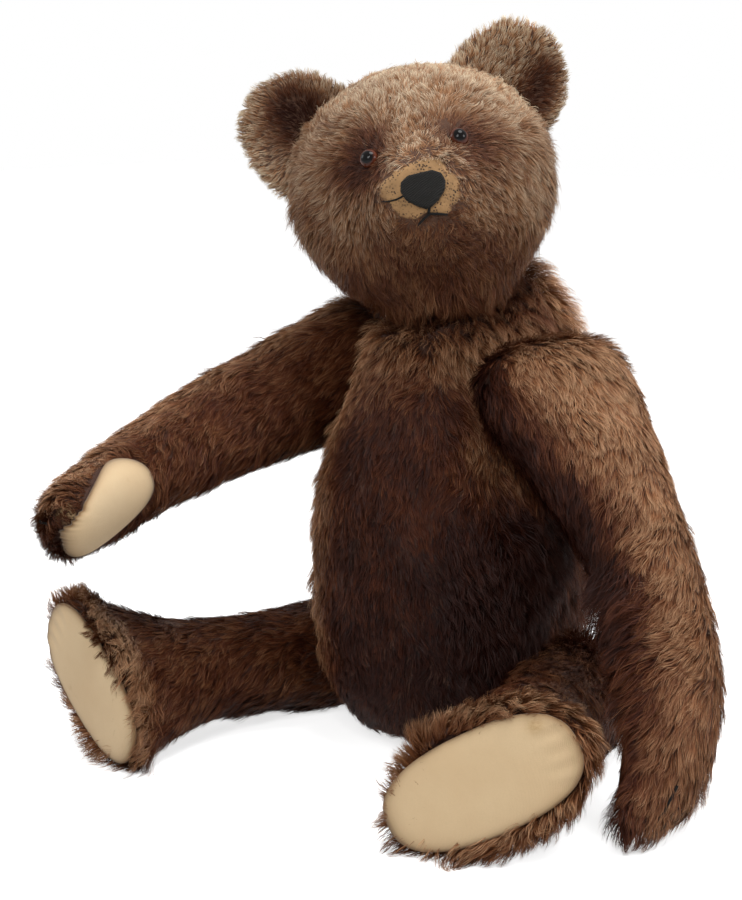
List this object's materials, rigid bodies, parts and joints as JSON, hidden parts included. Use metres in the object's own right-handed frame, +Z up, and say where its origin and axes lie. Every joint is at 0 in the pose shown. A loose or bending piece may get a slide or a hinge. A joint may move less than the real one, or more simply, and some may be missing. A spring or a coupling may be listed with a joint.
{
  "type": "teddy bear",
  "caption": "Seated stuffed mohair teddy bear with a jointed head, arms and legs that turn on discs, felt pads, glass eyes and a stitched nose.",
  "frame": {"origin": "on the floor, in the middle of the flat underside that the bear sits on", "axes": "+Z up, -Y the way the torso faces, +X towards the bear's own left; the joints are at rest as pictured, with the head turned to the bear's left"},
  "size_m": [0.4605, 0.394, 0.4739],
  "materials": {
    "brown_mohair": "worn brown mohair pile over woven backing, firmly stuffed",
    "faded_head_mohair": "faded brown mohair pile over woven backing, firmly stuffed",
    "cream_felt": "cream wool felt, worn and stained",
    "brown_glass": "polished, brown with a black pupil",
    "black_thread": "matt black stitching thread",
    "hardboard": "plain brown hardboard",
    "grey_card": "plain grey-brown card",
    "steel": "plain drawn steel"
  },
  "bodies": {
    "torso": {"torso": "brown_mohair", "neck_inner_disc": "hardboard", "neck_inner_washer": "steel", "shoulder_left_inner_disc": "hardboard", "shoulder_left_inner_washer": "steel", "shoulder_right_inner_disc": "hardboard", "shoulder_right_inner_washer": "steel", "hip_left_inner_disc": "hardboard", "hip_left_inner_washer": "steel", "hip_right_inner_disc": "hardboard", "hip_right_inner_washer": "steel"},
    "head": {"head": "faded_head_mohair", "ear_left": "faded_head_mohair", "eye_left": "brown_glass", "eye_shank_left": "steel", "ear_right": "faded_head_mohair", "eye_right": "brown_glass", "eye_shank_right": "steel", "nose": "black_thread", "mouth_line": "black_thread", "mouth_corners": "black_thread", "neck_outer_disc": "hardboard", "neck_outer_washer": "steel", "neck_cotter_pin": "steel"},
    "arm_left": {"arm_left": "brown_mohair", "paw_pad_left": "cream_felt", "claw_left_1": "black_thread", "claw_left_2": "black_thread", "claw_left_3": "black_thread", "claw_left_4": "black_thread", "shoulder_left_outer_disc": "hardboard", "shoulder_left_outer_washer": "steel", "shoulder_left_cotter_pin": "steel"},
    "arm_right": {"arm_right": "brown_mohair", "paw_pad_right": "cream_felt", "claw_right_1": "black_thread", "claw_right_2": "black_thread", "claw_right_3": "black_thread", "claw_right_4": "black_thread", "shoulder_right_outer_disc": "hardboard", "shoulder_right_outer_washer": "steel", "shoulder_right_cotter_pin": "steel"},
    "leg_left": {"leg_left": "brown_mohair", "foot_pad_left": "cream_felt", "insole_left": "grey_card", "hip_left_outer_disc": "hardboard", "hip_left_outer_washer": "steel", "hip_left_cotter_pin": "steel"},
    "leg_right": {"leg_right": "brown_mohair", "foot_pad_right": "cream_felt", "insole_right": "grey_card", "hip_right_outer_disc": "hardboard", "hip_right_outer_washer": "steel", "hip_right_cotter_pin": "steel"}
  },
  "joints": [
    {"name": "neck", "type": "hinge", "parent": "torso", "child": "head", "pos_m": [0, 0, 0.296], "axis": [0, -0.3584, 0.9336], "range_deg": [-130, 50]},
    {"name": "shoulder_left", "type": "hinge", "parent": "torso", "child": "arm_left", "pos_m": [0.0628, 0.005, 0.2256], "axis": [-0.859, 0.3212, -0.3987], "range_deg": [-125, 2]},
    {"name": "shoulder_right", "type": "hinge", "parent": "torso", "child": "arm_right", "pos_m": [-0.0628, 0.005, 0.2256], "axis": [-0.859, -0.3212, 0.3987], "range_deg": [-8, 30]},
    {"name": "hip_left", "type": "hinge", "parent": "torso", "child": "leg_left", "pos_m": [0.0684, -0.0022, 0.0455], "axis": [-0.9473, -0.2362, 0.2164], "range_deg": [-97, 7]},
    {"name": "hip_right", "type": "hinge", "parent": "torso", "child": "leg_right", "pos_m": [-0.0684, -0.0022, 0.0455], "axis": [-0.9473, 0.2362, -0.2164], "range_deg": [-97, 7]}
  ]
}
